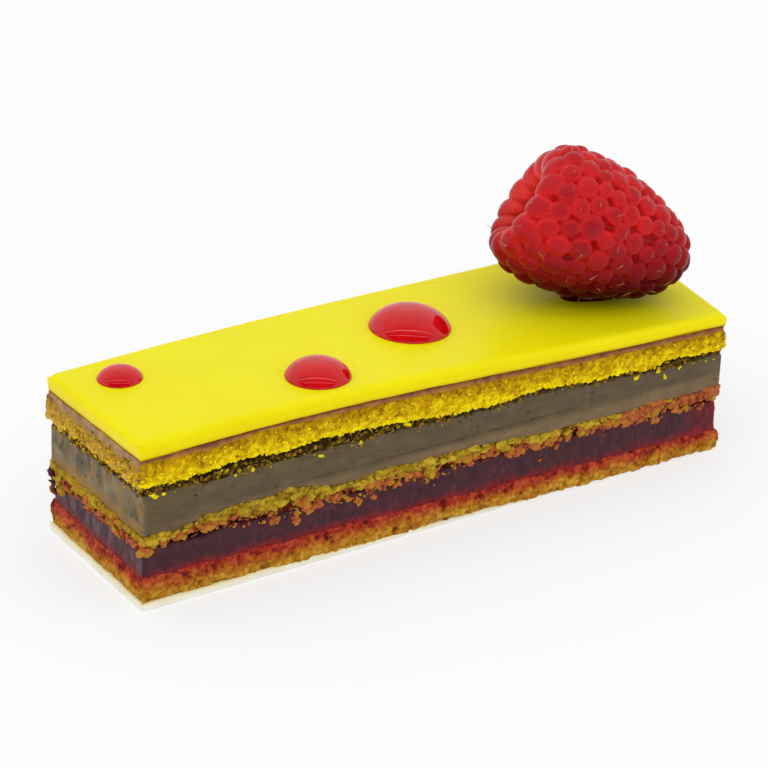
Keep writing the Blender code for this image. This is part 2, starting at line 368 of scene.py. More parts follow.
def coat_relief(at, station, share):
    ragged = 0.07 * ripple(at, 2.4) + 0.03 * ripple(at, 0.8)
    rounding = 0.15 * (1 - (2 * share - 1) ** 2)
    upper = share * (0.15 * ripple(at + Vector((9, 0, 0)), 2.6))
    return ragged + rounding - 0.12, upper, share, 0.0, 0.0


coat = cut_layer("white_coat", "white_chocolate_base", 5, coat_relief,
                 (((3, 0.0),), ((0.8, 0.05), (3, 0.0))), overlap=0.0)
material, tree, shader = new_material("white_chocolate", srgb(226, 222, 200), 0.5,
                                      Specular_IOR_Level=0.2)
cream = ramp(tree, grain(tree, 0.35), (0.3, srgb(232, 226, 200)), (0.6, srgb(242, 240, 230)))
tree.links.new(blend(tree, spread(tree, attribute(tree, "tone"), 0.4, 1.0), cream,
                     srgb(232, 222, 176)), shader.inputs["Base Color"])
tree.links.new(spread(tree, grain(tree, 1.3), 0.3, 0.7, 0.4, 0.6), shader.inputs["Roughness"])
bump(tree, shader, grain(tree, 2.0, 5.0), 0.05)
coat.data.materials.append(material)
stand_for(coat, "white_chocolate", "white_chocolate_base")


# ---------------------------------------------------------------------------------------
# The bottom sponge: a thin almond sponge, baked golden, whose upper half has drunk red
# juice from the jelly that was poured on it. Sawn through, it shows an open crumb.
# ---------------------------------------------------------------------------------------
BOTTOM_EDGE = ((0, -0.2), (10, -0.5), (20, -0.6), (30, -0.4), (38, -0.5), (44, 0.0), (50, -0.1),
               (58, -0.5), (66, -0.55), (89, -0.5))


def bottom_relief(at, station, share):
    lumps = grains(at, 1.3)
    fine = grains(at + Vector((5, 0, 0)), 0.45)
    pits = max(0.0, ripple(at, 0.8) - 0.25)
    open_crumb = 0.35 + 0.65 * math.sin(math.pi * (0.15 + 0.7 * share))
    stands = (0.36 * (lumps - 0.6) + 0.18 * (fine - 0.5) - 0.5 * pits) * open_crumb
    stands += 0.1 * ripple(at, 3.0) - 0.4 * share ** 3 - 0.35 * (1 - share) ** 3
    edge = (1 - share) ** 2
    raised = edge * (along_edge(station, BOTTOM_EDGE, -0.3) + 0.3 * ripple(at, 1.2)
                     + 0.15 * ripple(at, 0.5))
    raised += share ** 3 * (0.25 * ripple(at, 2.0) + 0.12 * ripple(at, 0.7))
    # Painted shade: the tone drops in the pits and between the grains, where the crumb sinks in.
    tone = 0.25 * lumps + 0.25 * fine - 0.9 * pits + 0.3 + 0.35 * ripple(at, 1.6)
    soaked = share + 0.2 * ripple(at, 2.6) + 0.14 * ripple(at, 1.0) - 0.05
    coated = station.side == LEFT or (station.side == NEAR and station.run < 56)
    cream = max(0.0, 0.1 - share / 0.1 + 0.8 * ripple(at, 1.3)) if coated else 0.0
    return stands, raised, tone, soaked, min(1.0, cream)


bottom = cut_layer("bottom_sponge_crumb", "bottom_sponge", 20, bottom_relief,
                   (((0.6, 0.1), (3, 0.3)), ((0.8, 0.0), (3, 0.0))))
material, tree, shader = new_material("soaked_sponge", srgb(185, 125, 25), 0.8,
                                      Specular_IOR_Level=0.12)
tone = combine(tree, "ADD", attribute(tree, "tone"),
               spread(tree, grain(tree, 1.7, 5.0), 0.3, 0.7, -0.35, 0.35))
baked = ramp(tree, tone, (0.05, srgb(96, 48, 6)), (0.4, srgb(160, 102, 18)),
             (0.65, srgb(178, 122, 28)), (1.0, srgb(202, 158, 52)))
red = ramp(tree, tone, (0.05, srgb(80, 8, 12)), (0.45, srgb(140, 24, 20)),
           (1.0, srgb(184, 74, 38)))
between = ramp(tree, tone, (0.05, srgb(88, 18, 8)), (0.5, srgb(156, 66, 16)),
               (1.0, srgb(190, 110, 36)))
soaked = attribute(tree, "soak")
colour = blend(tree, spread(tree, soaked, 0.25, 0.55), baked, between)
colour = blend(tree, spread(tree, soaked, 0.55, 0.8), colour, red)
tree.links.new(blend(tree, attribute(tree, "smear"), colour, srgb(214, 186, 104)),
               shader.inputs["Base Color"])
tree.links.new(spread(tree, soaked, 0.4, 0.9, 0.8, 0.5), shader.inputs["Roughness"])
bump(tree, shader, grain(tree, 3.0, 5.0), 0.15)
bottom.data.materials.append(material)
stand_for(bottom, "soaked_sponge", "bottom_sponge")


# ---------------------------------------------------------------------------------------
# The raspberry jelly: a set layer of raspberry puree, dark and dense. The knife has drawn
# faint lines down it and smeared it grey at the left end, a grey partly painted as a sheen of light;
# thin at the right, it is painted a brighter red for light coming through it.
# ---------------------------------------------------------------------------------------
def jelly_relief(at, station, share):
    drawn = Vector((at.x, at.y, at.z * 0.2))
    stands = (0.10 * ripple(at, 1.8) + 0.05 * ripple(drawn, 0.4) + 0.05 * ripple(at, 0.6)
              + 0.2 * (1 - share) ** 4 - 0.15 * share ** 4)
    raised = (1 - share) ** 3 * (0.25 * ripple(at, 2.0) + 0.12 * ripple(at, 0.7))
    # The left end: a grey knife smear, painted lighter partly as a sheen of light there.
    smear = min(1.0, 0.75 + 0.5 * ripple(at, 3.0)) if station.side == LEFT else 0.0
    # Painted light: the thin right end is painted a brighter red for light shining through it.
    if station.side == NEAR:
        glow = max(0.0, (station.run - 82) / 7)
    else:
        glow = 1.0 if station.side == RIGHT else 0.0
    low = max(0.0, 1 - share / (0.3 + 0.16 * ripple(at, 2.6)))
    return stands, raised, 0.5 + 0.5 * ripple(at, 2.2), min(1.0, glow + low ** 1.5), smear


jelly = cut_layer("raspberry_jelly_face", "raspberry_jelly", 24, jelly_relief,
                  (((1.0, 0.0), (3, 0.0)), ((0.8, 0.2), (3, 0.0))))
material, tree, shader = new_material("dark_jelly", srgb(75, 38, 48), 0.45,
                                      Specular_IOR_Level=0.2)
speckle = grain(tree, 0.9, 6.0)
front = ramp(tree, speckle, (0.34, srgb(54, 20, 29)), (0.5, srgb(64, 26, 35)),
             (0.64, srgb(74, 31, 38)), (0.78, srgb(108, 50, 52)))
drawn = grain(tree, 2.4, 3.0, (1, 1, 0.1))
front = blend(tree, spread(tree, drawn, 0.48, 0.7, 0.0, 0.3), front, srgb(88, 50, 58))
streak = grain(tree, 0.7, 5.0, (1, 1, 0.35), 0.8)
# The left end's colours: grey knife smear, lighter and greyer partly as a painted sheen.
left = ramp(tree, streak, (0.38, srgb(50, 18, 26)), (0.52, srgb(76, 44, 50)),
            (0.68, srgb(106, 80, 88)))
colour = blend(tree, attribute(tree, "smear"), front, left)
# Painted glow: the brighter red at the right end, blended in by soak together with the jelly's redder
# foot.
glow = ramp(tree, speckle, (0.3, srgb(84, 6, 14)), (0.6, srgb(134, 20, 24)))
tree.links.new(blend(tree, attribute(tree, "soak"), colour, glow), shader.inputs["Base Color"])
tree.links.new(spread(tree, speckle, 0.3, 0.7, 0.38, 0.58), shader.inputs["Roughness"])
bump(tree, shader, combine(tree, "ADD", grain(tree, 2.5, 5.0), streak), 0.06)
jelly.data.materials.append(material)
stand_for(jelly, "dark_jelly", "raspberry_jelly")


# ---------------------------------------------------------------------------------------
# The middle sponge: an almond sponge that the knife has torn. It stands out over the jelly
# in rounded lumps and hangs down in crumbs that have turned orange with juice.
# ---------------------------------------------------------------------------------------
MIDDLE_LOWER_EDGE = ((0, -0.1), (5, 0.6), (10, 0.6), (15, -0.2), (20, -0.8), (30, -0.6),
                     (37, 0.2), (42, -0.7), (50, 0.1), (60, -0.4), (70, 0.1), (80, -0.4), (89, 0.1))
MIDDLE_UPPER_EDGE = ((0, 0.0), (5, -0.4), (10, 0.3), (14, 0.7), (20, 0.6), (30, -0.4),
                     (36, 0.0), (50, 0.0), (60, -0.45), (75, -0.2), (89, 0.0))


def middle_relief(at, station, share):
    lumps = grains(at + Vector((0, 3, 0)), 1.7)
    fine = grains(at + Vector((7, 0, 0)), 0.45)
    lower = 1 - share
    open_below = min(1.0, max(0.0, (lower - 0.35 + 0.3 * ripple(at, 2.1)) / 0.3))
    stands = 0.7 * (lumps - 0.7) + 0.3 * (fine - 0.5) - 0.55 * open_below
    ragged = 0.4 * ripple(at, 1.6) + 0.3 * ripple(at, 0.7)
    raised = (lower ** 1.5 * (along_edge(station, MIDDLE_LOWER_EDGE) + 0.3 + ragged)
              + share ** 3 * (along_edge(station, MIDDLE_UPPER_EDGE) + 0.25 * ripple(at, 1.2)
                              + 0.25 * ripple(at, 0.5)))
    # Painted shade: the tone drops between the lumps and grains.
    tone = 0.35 * lumps + 0.25 * fine + 0.15 + 0.4 * ripple(at, 1.8)
    return stands, raised, tone, open_below, 0.0


middle = cut_layer("middle_sponge_crumb", "middle_sponge", 22, middle_relief,
                   (((0.5, 0.3), (1.2, 0.6), (3, 0.0)), ((0.8, 0.0), (3, 0.0))))
material, tree, shader = new_material("brown_sponge", srgb(168, 120, 35), 0.8,
                                      Specular_IOR_Level=0.1)
tone = combine(tree, "ADD", attribute(tree, "tone"),
               spread(tree, grain(tree, 1.7, 5.0), 0.3, 0.7, -0.35, 0.35))
dry = ramp(tree, tone, (0.0, srgb(64, 44, 6)), (0.35, srgb(122, 92, 16)),
           (0.65, srgb(158, 128, 24)), (1.0, srgb(188, 158, 40)))
# wet: the juice-soaked colour where the face sinks back below the lumps, partly real soaking and
# partly painted shade under the overhang.
wet = ramp(tree, tone, (0.0, srgb(34, 4, 10)), (0.4, srgb(78, 20, 16)), (1.0, srgb(150, 72, 34)))
tree.links.new(blend(tree, attribute(tree, "soak"), dry, wet), shader.inputs["Base Color"])
tree.links.new(spread(tree, tone, 0.0, 1.0, 0.6, 0.85), shader.inputs["Roughness"])
bump(tree, shader, grain(tree, 3.0, 5.0), 0.15)
middle.data.materials.append(material)
stand_for(middle, "brown_sponge", "middle_sponge")


# ---------------------------------------------------------------------------------------
# The wet crumbs: lumps that the knife tore out of the middle sponge. The upper ones stay dry
# and yellow; those that hang over the jelly are small, wet and orange to dark red.
# ---------------------------------------------------------------------------------------
Crumb = namedtuple("Crumb", "place along out length height depth hue")


def crumb_ball(fineness):
    bm = bmesh.new()
    bmesh.ops.create_icosphere(bm, subdivisions=fineness, radius=1.0)
    points = [vert.co.copy() for vert in bm.verts]
    faces = [[vert.index for vert in face.verts] for face in bm.faces]
    bm.free()
    return points, faces


def any_way(draw):
    return Vector([draw.uniform(-1, 1) for _ in range(3)]).normalized()


def crumb_piece(name, crumbs, draw, fineness=2, breaks=6):
    """All the crumbs as one mesh, each one a small ball broken off along a few flats."""
    ball, ball_faces = crumb_ball(fineness)
    points, faces, hues = [], [], []
    for crumb in crumbs:
        first = len(points)
        faces += [[first + index for index in face] for face in ball_faces]
        seat = any_way(draw) * 99
        flats = [(any_way(draw), draw.uniform(0.4, 0.85)) for _ in range(breaks)]
        tilt = Matrix.Rotation(draw.uniform(-0.7, 0.7), 3, any_way(draw))
        along, up = tilt @ crumb.along, tilt @ Vector((0, 0, 1))
        for way in ball:
            reach = min([1.0] + [far / way.dot(flat) for flat, far in flats
                                 if way.dot(flat) > far])
            reach *= (1 + 0.42 * noise.noise(way * 2.2 + seat)
                      + 0.25 * noise.noise(way * 5 + seat))
            offset = (along * way.x * crumb.length + crumb.out * way.y * crumb.depth
                      + up * way.z * crumb.height)
            points.append((crumb.place + offset * reach * 1.15) * MM)
            # Painted shade: each crumb's hue drops where its surface lies further in, on its flats and
            # in its dips.
            hues.append(crumb.hue + 0.3 * (reach - 0.8))
    mesh = bpy.data.meshes.new(name)
    mesh.from_pydata(points, [], faces)
    mesh.attributes.new("hue", "FLOAT", "POINT").data.foreach_set("value", hues)
    mesh.shade_smooth()
    mesh.set_sharp_from_angle(angle=math.radians(38))
    made = bpy.data.objects.new(name, mesh)
    bpy.context.scene.collection.objects.link(made)
    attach(made, "root")
    return made


def crumb_at(station, level, depth, size, hue, flat=1.0):
    """A crumb whose middle lies this deep behind a station of the cut face."""
    along = Vector((-station.out.y, station.out.x, 0))
    place = station.point.to_3d() / MM - station.out * depth
    place.z = level
    return Crumb(place, along, station.out, size * 1.15, size * flat, size * 0.8, hue)


def crumb_material(name, *stops):
    material, tree, shader = new_material(name, srgb(168, 120, 35), 0.8,
                                          Specular_IOR_Level=0.1)
    value = combine(tree, "ADD", attribute(tree, "hue"),
                    spread(tree, grain(tree, 1.8, 5.0), 0.3, 0.7, -0.14, 0.14))
    tree.links.new(ramp(tree, value, *stops), shader.inputs["Base Color"])
    tree.links.new(spread(tree, value, 0.0, 1.0, 0.55, 0.85), shader.inputs["Roughness"])
    bump(tree, shader, grain(tree, 3.5, 5.0), 0.12)
    return material


# Lumps that hang free on the near side: where along it, how high, how big, and the hue.
HANGING = ((1.2, 8.9, 0.75, 0.62), (2.9, 8.6, 0.7, 0.68), (22.0, 7.0, 0.6, 0.5),
           (31.0, 7.3, 0.65, 0.55), (33.3, 7.0, 0.6, 0.5), (37.0, 7.9, 0.7, 0.58),
           (41.6, 7.2, 0.55, 0.78), (42.4, 6.5, 0.45, 0.75), (75.0, 8.0, 0.9, 0.47),
           (81.4, 8.7, 1.05, 0.44), (85.4, 8.7, 1.0, 0.42), (87.6, 8.4, 0.9, 0.44),
           (69.5, 6.6, 0.3, 0.45), (59.5, 5.6, 0.45, 0.4), (46.5, 6.2, 0.2, 0.6))
# The same for the left end, from its far corner on.
HANGING_LEFT = ((0.4, 9.4, 0.9, 0.1), (0.9, 8.3, 0.9, 0.08), (0.6, 7.0, 0.85, 0.2),
                (0.5, 5.9, 0.8, 0.42), (2.2, 8.4, 0.95, 0.8), (2.5, 7.4, 0.8, 0.74),
                (4.4, 9.0, 0.8, 0.3), (7.5, 8.6, 0.6, 0.4), (10.5, 8.2, 0.6, 0.5),
                (14.0, 8.6, 0.8, 0.3), (17.5, 8.3, 0.8, 0.62), (20.5, 8.6, 0.9, 0.42),
                (22.3, 8.4, 0.8, 0.5))


def middle_crumbs(draw):
    """Big dry lumps under the ganache, wet ones over the jelly and small bits between."""
    crumbs = []
    step = 0.25
    stations = outline_of("middle_sponge", step * MM)
    for station, (low, high) in zip(stations, heights_of("middle_sponge", stations)):
        low, high = low / MM, high / MM
        run = station.point.to_3d() / MM
        upper = high + along_edge(station, MIDDLE_UPPER_EDGE)
        lower = low + along_edge(station, MIDDLE_LOWER_EDGE)
        right = 1.0 if station.side == NEAR and station.run > 72 else 0.0
        left = 1.0 if station.side == LEFT else 0.0
        clump = ripple(run, 1.9)
        tall = upper - lower
        if draw.random() < step * (1.7 - 0.6 * left) * (1 + 0.9 * ripple(run, 1.3)):
            size = draw.uniform(0.35, 1.0) + 0.25 * right
            crumbs.append(crumb_at(station, upper - draw.uniform(0.08, 0.45) * tall,
                                   draw.uniform(0.15, 0.6), size,
                                   0.86 - 0.42 * right - 0.16 * left * draw.random()
                                   + 0.1 * ripple(run, 3.0), 0.75))
        if draw.random() < step * 1.2 * (1 + 1.9 * clump):
            level = lower + tall * draw.uniform(0.25, 0.6)
            crumbs.append(crumb_at(station, level, draw.uniform(0.3, 0.7),
                                   draw.uniform(0.4, 0.85), draw.uniform(0.5, 0.85)))
        if draw.random() < step * 1.9 * (1 + 2.1 * clump):
            level = lower + draw.uniform(-0.3, 0.8)
            crumbs.append(crumb_at(station, level, draw.uniform(0.1, 0.6),
                                   draw.uniform(0.25, 0.7), draw.uniform(0.36, 0.7)))
        if draw.random() < step * 5:
            level = lower + draw.uniform(-0.5, 2.0)
            crumbs.append(crumb_at(station, level, draw.uniform(0.0, 0.4),
                                   draw.uniform(0.1, 0.24), draw.uniform(0.15, 0.85)))
    return crumbs


def hanging_lumps(draw, side, places, depth):
    """Each lump is a bunch of smaller ones round the place in the list."""
    step = 0.25
    return [crumb_at(station, level + size * draw.uniform(-0.6, 0.6),
                     depth + size * draw.uniform(-0.2, 0.3), size * draw.uniform(0.35, 0.75),
                     hue + draw.uniform(-0.1, 0.1))
            for station in outline_of("middle_sponge", step * MM) if station.side == side
            for run, level, size, hue in places
            for _ in range(3) if abs(station.run + draw.uniform(-0.5, 0.5) * size - run) < step / 2]


draw = random.Random(9)
wet = crumb_material(
    "wet_crumbs", (0.0, srgb(36, 4, 10)), (0.3, srgb(116, 40, 26)), (0.5, srgb(176, 94, 50)),
    (0.66, srgb(190, 118, 44)), (0.82, srgb(164, 132, 26)), (1.0, srgb(198, 170, 46)))
torn_off = (middle_crumbs(draw) + hanging_lumps(draw, NEAR, HANGING, 0.15)
            + hanging_lumps(draw, LEFT, HANGING_LEFT, -0.1))
lower_crumbs = crumb_piece("wet_crumbs", torn_off, draw, breaks=4)
lower_crumbs.data.materials.append(wet)


# ---------------------------------------------------------------------------------------
# The ganache: a thick layer of chocolate cream, set and cut cold, so its faces are smooth.
# The knife has left fine lines and one long groove, and torn its upper edge; the torn edge, the groove
# and small holes are painted dark as shade.
# ---------------------------------------------------------------------------------------
GANACHE_UPPER_EDGE = ((0, -0.4), (10, -1.0), (20, -1.1), (40, -0.9), (50, -0.85), (58, 0.1),
                      (62, 0.1), (70, -0.45), (80, -0.75), (89, -0.35))
GROOVE_HEIGHT = 12.3
GROOVE_RUN = (24, 65)
PALE_HEIGHT = 12.2
SMEAR_RUN = 66


def ganache_relief(at, station, share):
    drawn = Vector((at.x, at.y, at.z * 0.12))
    level = Vector((at.x * 0.06, at.y * 0.06, at.z))
    stands = 0.04 * ripple(at, 2.5) + 0.03 * ripple(drawn, 0.5) + 0.03 * ripple(level, 0.35)
    left = 1.0 if station.side == LEFT else 0.0
    stands += left * 0.12 * ripple(drawn, 1.1)
    # torn_and_shaded: the upper edge sinks in where torn and is painted dark there as shade; the
    # groove and the holes add to it.
    torn_and_shaded = max(0.0, (share - 0.89 + 0.05 * ripple(at, 1.1)) / 0.11)
    stands -= torn_and_shaded * (0.3 + 0.4 * ripple(at, 0.8) + 0.3 * ripple(at, 0.35))
    raised = share ** 6 * (along_edge(station, GANACHE_UPPER_EDGE, -0.6) + 0.3 * ripple(at, 0.9))
    raised += (1 - share) ** 6 * along_edge(station, MIDDLE_UPPER_EDGE)
    hole = max(0.0, ripple(at, 0.6) - 0.6)
    stands -= 1.8 * hole
    pale = min(1.0, max(0.0, (PALE_HEIGHT + 0.5 * ripple(level, 3.0) - at.z) / 0.8))
    if station.side == NEAR:
        pale *= min(1.0, 0.3 + station.run / 60)
        if GROOVE_RUN[0] < station.run < GROOVE_RUN[1]:
            off = (at.z - GROOVE_HEIGHT - 0.1 * ripple(level, 4.0)) / 0.16
            stands -= 0.14 * math.exp(-off * off)
            torn_and_shaded += 0.35 * math.exp(-off * off)
        off = (station.run - SMEAR_RUN - 0.5 * ripple(drawn, 1.5)) / 0.3
        pale = max(0.8 * pale, 0.35 * math.exp(-off * off), math.exp(-6 * station.run ** 2))
    return stands, raised, torn_and_shaded + 3 * hole, left, pale


ganache = cut_layer("ganache_face", "chocolate_ganache", 36, ganache_relief,
                    (((0.8, 0.0), (3, 0.0)), ((0.3, 0.3), (0.8, 0.9), (3, 0.9))))
material, tree, shader = new_material("ganache", srgb(90, 78, 55), 0.5,
                                      Specular_IOR_Level=0.2)
cloud = grain(tree, 0.3, 6.0, (1, 1, 2.5))
front = ramp(tree, cloud, (0.3, srgb(82, 69, 46)), (0.5, srgb(91, 77, 53)),
             (0.75, srgb(104, 88, 62)))
streak = grain(tree, 0.45, 6.0, (1, 1, 0.75), 0.6)
# The left end: lighter, greyer colours, partly a streaky knife smear and partly a painted sheen of the
# light from the left.
left = ramp(tree, streak, (0.36, srgb(80, 70, 48)), (0.48, srgb(104, 92, 66)),
            (0.58, srgb(116, 106, 80)), (0.7, srgb(132, 122, 98)))
ochre = ramp(tree, cloud, (0.3, srgb(126, 92, 42)), (0.7, srgb(160, 120, 56)))
patches = grain(tree, 0.33, 5.0, (1, 1.6, 1), 0.4)
left = blend(tree, spread(tree, patches, 0.47, 0.63, 0.0, 0.8), left, ochre)
colour = blend(tree, attribute(tree, "soak"), front, left)
pale = ramp(tree, cloud, (0.3, srgb(116, 94, 62)), (0.7, srgb(136, 112, 78)))
colour = blend(tree, spread(tree, attribute(tree, "smear"), 0.0, 1.0, 0.0, 0.8), colour,
               blend(tree, attribute(tree, "soak"), pale, ochre))
# Painted shade: this dark brown, with a few ochre crumb bits, goes into the torn edge, the groove and
# the holes.
dark = ramp(tree, grain(tree, 1.7, 5.0), (0.34, srgb(36, 24, 6)), (0.5, srgb(70, 52, 16)),
            (0.62, srgb(104, 80, 24)), (0.72, srgb(150, 120, 24)))
tree.links.new(blend(tree, spread(tree, attribute(tree, "tone"), 0.1, 0.6), colour, dark),
               shader.inputs["Base Color"])
tree.links.new(spread(tree, cloud, 0.3, 0.7, 0.42, 0.6), shader.inputs["Roughness"])
bump(tree, shader, combine(tree, "ADD", grain(tree, 3.0, 4.0), streak), 0.05)
ganache.data.materials.append(material)
stand_for(ganache, "ganache", "chocolate_ganache")


# ---------------------------------------------------------------------------------------
# The top sponge: the freshest of the three, bright yellow from egg yolk. It is torn rather
# than cut, with its lower edge broken away from the ganache in ragged crumbs.
# ---------------------------------------------------------------------------------------
TOP_LOWER_EDGE = ((0, 0.75), (5, 0.25), (10, 0.5), (13, 0.85), (20, 0.4), (25, 0.7), (33, 0.55),
                  (40, 0.2), (45, -0.2), (50, -0.25), (55, 0.4), (60, 0.5), (65, 0.3),
                  (70, 0.2), (75, -0.15), (79.5, 0.75), (84, 0.3), (89, 0.2))
TOP_UPPER_EDGE = ((0, 0.2), (10, -0.25), (17, 0.35), (24, 0.0), (40, -0.1), (89, 0.0))


def top_sponge_relief(at, station, share):
    bulge = max(0.0, 1 - (far_left - at.to_2d()).length / 4)
    lumps = grains(at, 0.9)
    fine = grains(at + Vector((7, 0, 0)), 0.35)
    pits = max(0.0, ripple(at + Vector((0, 9, 0)), 0.7) - 0.35)
    lower = 1 - share
    stands = (0.3 * (lumps - 0.6) + 0.22 * (fine - 0.5)) * (0.3 + 0.7 * lower) - 0.4 * pits
    stands += 0.12 * ripple(at, 2.5) + 0.1 * lower - 0.1 * share + 0.6 * bulge
    ragged = 0.3 * ripple(at, 1.5) + 0.3 * ripple(at, 0.6) + 0.22 * ripple(at, 0.28)
    if station.side == LEFT:
        ragged += 0.6 * ripple(at, 2.4) + 0.3 * ripple(at, 0.9)
    raised = (lower ** 2 * (along_edge(station, TOP_LOWER_EDGE, 0.35) + ragged)
              + share ** 3 * (along_edge(station, TOP_UPPER_EDGE) + 0.1 * ripple(at, 1.0)))
    # Painted shade: the tone drops in the pits and between the grains.
    tone = (0.5 + 0.16 * (lumps - 0.6) + 0.2 * (fine - 0.5) - 0.7 * pits
            + 0.25 * ripple(at, 1.8) + 0.55 * (lower - 0.45))
    return stands, raised, tone, 0.0, 1.0 if station.side == LEFT else 0.0


far_left = corners_of("top_sponge")[LEFT] / MM
top_sponge = cut_layer("top_sponge_crumb", "top_sponge", 22, top_sponge_relief,
                       (((0.4, 0.2), (1.0, 0.4), (3, 0.0)), ((0.8, 0.0), (3, 0.0))))
material, tree, shader = new_material("yellow_sponge", srgb(215, 190, 10), 0.85,
                                      Specular_IOR_Level=0.08)
tone = combine(tree, "ADD", attribute(tree, "tone"),
               spread(tree, grain(tree, 1.4, 6.0), 0.3, 0.7, -0.25, 0.25))
front = ramp(tree, tone, (0.0, srgb(104, 72, 0)), (0.25, srgb(164, 122, 2)),
             (0.5, srgb(193, 150, 2)), (0.75, srgb(222, 189, 2)), (1.0, srgb(246, 226, 8)))
left = ramp(tree, tone, (0.0, srgb(112, 76, 22)), (0.4, srgb(168, 124, 46)),
            (0.7, srgb(196, 152, 56)), (1.0, srgb(214, 176, 78)))
tree.links.new(blend(tree, attribute(tree, "smear"), front, left), shader.inputs["Base Color"])
tree.links.new(spread(tree, tone, 0.0, 1.0, 0.95, 0.7), shader.inputs["Roughness"])
bump(tree, shader, grain(tree, 3.0, 5.0), 0.15)
top_sponge.data.materials.append(material)
stand_for(top_sponge, "yellow_sponge", "top_sponge")


# ---------------------------------------------------------------------------------------
# The chocolate cream: a very thin matt layer under the glaze, spread with a palette knife
# to give the glaze a level bed. At the left end the knife has dragged it down the sponge.
# ---------------------------------------------------------------------------------------
def cream_relief(at, station, share):
    left = 1.0 if station.side == LEFT else 0.0
    stands = 0.06 * ripple(at, 1.5) + 0.04 * ripple(at, 0.4) + 0.1 + 0.12 * left
    dragged = left * (0.6 + 0.5 * ripple(at, 2.0) + 0.25 * ripple(at, 0.7))
    lower = along_edge(station, TOP_UPPER_EDGE) + 0.1 * ripple(at, 1.2) - 0.12
    return stands, (1 - share) * (lower - dragged), 1 - share, 0.0, left


cream = cut_layer("chocolate_cream_edge", "thin_chocolate_cream", 8, cream_relief,
                  (((0.8, 0.0), (3, 0.0)), ((0.8, 0.0), (3, 0.0))))
material, tree, shader = new_material("chocolate_cream", srgb(150, 96, 60), 0.6,
                                      Specular_IOR_Level=0.2)
cloud = grain(tree, 0.8, 6.0)
front = ramp(tree, combine(tree, "ADD", cloud, spread(tree, attribute(tree, "tone"), 0, 1, -0.3, 0.3)),
             (0.2, srgb(104, 52, 36)), (0.5, srgb(146, 90, 44)), (0.8, srgb(176, 122, 44)))
left = ramp(tree, cloud, (0.3, srgb(130, 96, 64)), (0.5, srgb(158, 124, 86)),
            (0.72, srgb(182, 150, 112)))
fade = spread(tree, combine(tree, "ADD", attribute(tree, "tone"), spread(
    tree, grain(tree, 0.5, 4.0), 0.3, 0.7, -0.4, 0.4)), 0.5, 1.1)
left = blend(tree, fade, left, srgb(168, 126, 48))
tree.links.new(blend(tree, attribute(tree, "smear"), front, left), shader.inputs["Base Color"])
tree.links.new(spread(tree, cloud, 0.3, 0.7, 0.5, 0.7), shader.inputs["Roughness"])
bump(tree, shader, grain(tree, 3.0, 4.0), 0.06)
cream.data.materials.append(material)
stand_for(cream, "chocolate_cream", "thin_chocolate_cream")


# ---------------------------------------------------------------------------------------
# The dry crumbs: bits torn off the top sponge as the knife went through. They fill the open
# seam, painted dark down in it as shade and yellow outside, and a few flakes stick to the ganache
# below.
# ---------------------------------------------------------------------------------------
# Flakes on the near side: where along it, how high, how long and thick, in millimetres.
FLAKES = ((1.6, 15.9, 0.9, 0.45), (2.9, 15.6, 0.45, 0.35), (13.0, 15.6, 0.4, 0.25),
          (15.5, 15.8, 0.3, 0.3), (25.5, 15.1, 0.75, 0.22), (31.0, 15.6, 0.35, 0.25),
          (38.0, 16.4, 0.6, 0.3), (47.5, 16.6, 0.5, 0.3), (58.5, 17.2, 1.3, 0.42),
          (61.0, 16.6, 0.5, 0.3), (74.0, 14.4, 0.5, 0.3), (77.8, 14.6, 0.5, 0.4),
          (78.6, 13.6, 0.35, 0.6), (81.2, 14.2, 0.45, 0.35), (76.9, 15.2, 0.4, 0.3))


def sponge_crumbs(draw):
    crumbs = []
    step = 0.25
    stations = outline_of("chocolate_ganache", step * MM)
    for station, (_, high) in zip(stations, heights_of("chocolate_ganache", stations)):
        ledge = high / MM + along_edge(station, GANACHE_UPPER_EDGE, -0.5)
        clump = ripple(station.point.to_3d() / MM, 2.2)
        for _ in range(2):
            if draw.random() < step * 4.5 * (1 + clump):
                size = draw.uniform(0.1, 0.3)
                rise = draw.uniform(-0.25, 1.0)
                # Painted shade: the lower a crumb sits in the seam, the darker its hue.
                hue = draw.uniform(0.1, 0.6) + 0.35 * max(0.0, rise) * draw.random()
                hue += 0.15 if station.side == LEFT else 0.0
                crumbs.append(crumb_at(station, ledge + rise, draw.uniform(-0.05, 0.45),
                                       size, hue))
        if draw.random() < step * 0.8 * (1 + clump):
            crumbs.append(crumb_at(station, ledge - draw.uniform(0.1, 0.9), 0.0,
                                   draw.uniform(0.08, 0.2), draw.uniform(0.3, 0.9), 0.6))
        if draw.random() < step * 0.3:
            crumbs.append(crumb_at(station, ledge - draw.uniform(0.5, 4.5), 0.0,
                                   draw.uniform(0.05, 0.09), draw.uniform(0.3, 0.75), 0.6))
        if station.side == NEAR:
            for run, level, length, thick in FLAKES:
                if abs(station.run - run) < step / 2:
                    flake = crumb_at(station, level, 0.1, thick, 0.95)
                    crumbs.append(flake._replace(length=length, depth=0.3))
    return crumbs


def sponge_granules(draw):
    """Fine grit on the top sponge's face, ochre above and yellow below."""
    crumbs = []
    stations = outline_of("top_sponge", 0.2 * MM)
    for station, (low, high) in zip(stations, heights_of("top_sponge", stations)):
        low, high = low / MM + along_edge(station, TOP_LOWER_EDGE, 0.35), high / MM
        for _ in range(3):
            share = draw.random() ** 1.5
            if draw.random() < 0.9 - 0.5 * share:
                hue = 0.98 - 0.28 * share + draw.uniform(-0.12, 0.12)
                if station.side == LEFT:
                    hue -= 0.14
                crumbs.append(crumb_at(station, low + (high - low) * share - 0.15,
                                       draw.uniform(-0.1, 0.15), draw.uniform(0.13, 0.34), hue))
    return crumbs


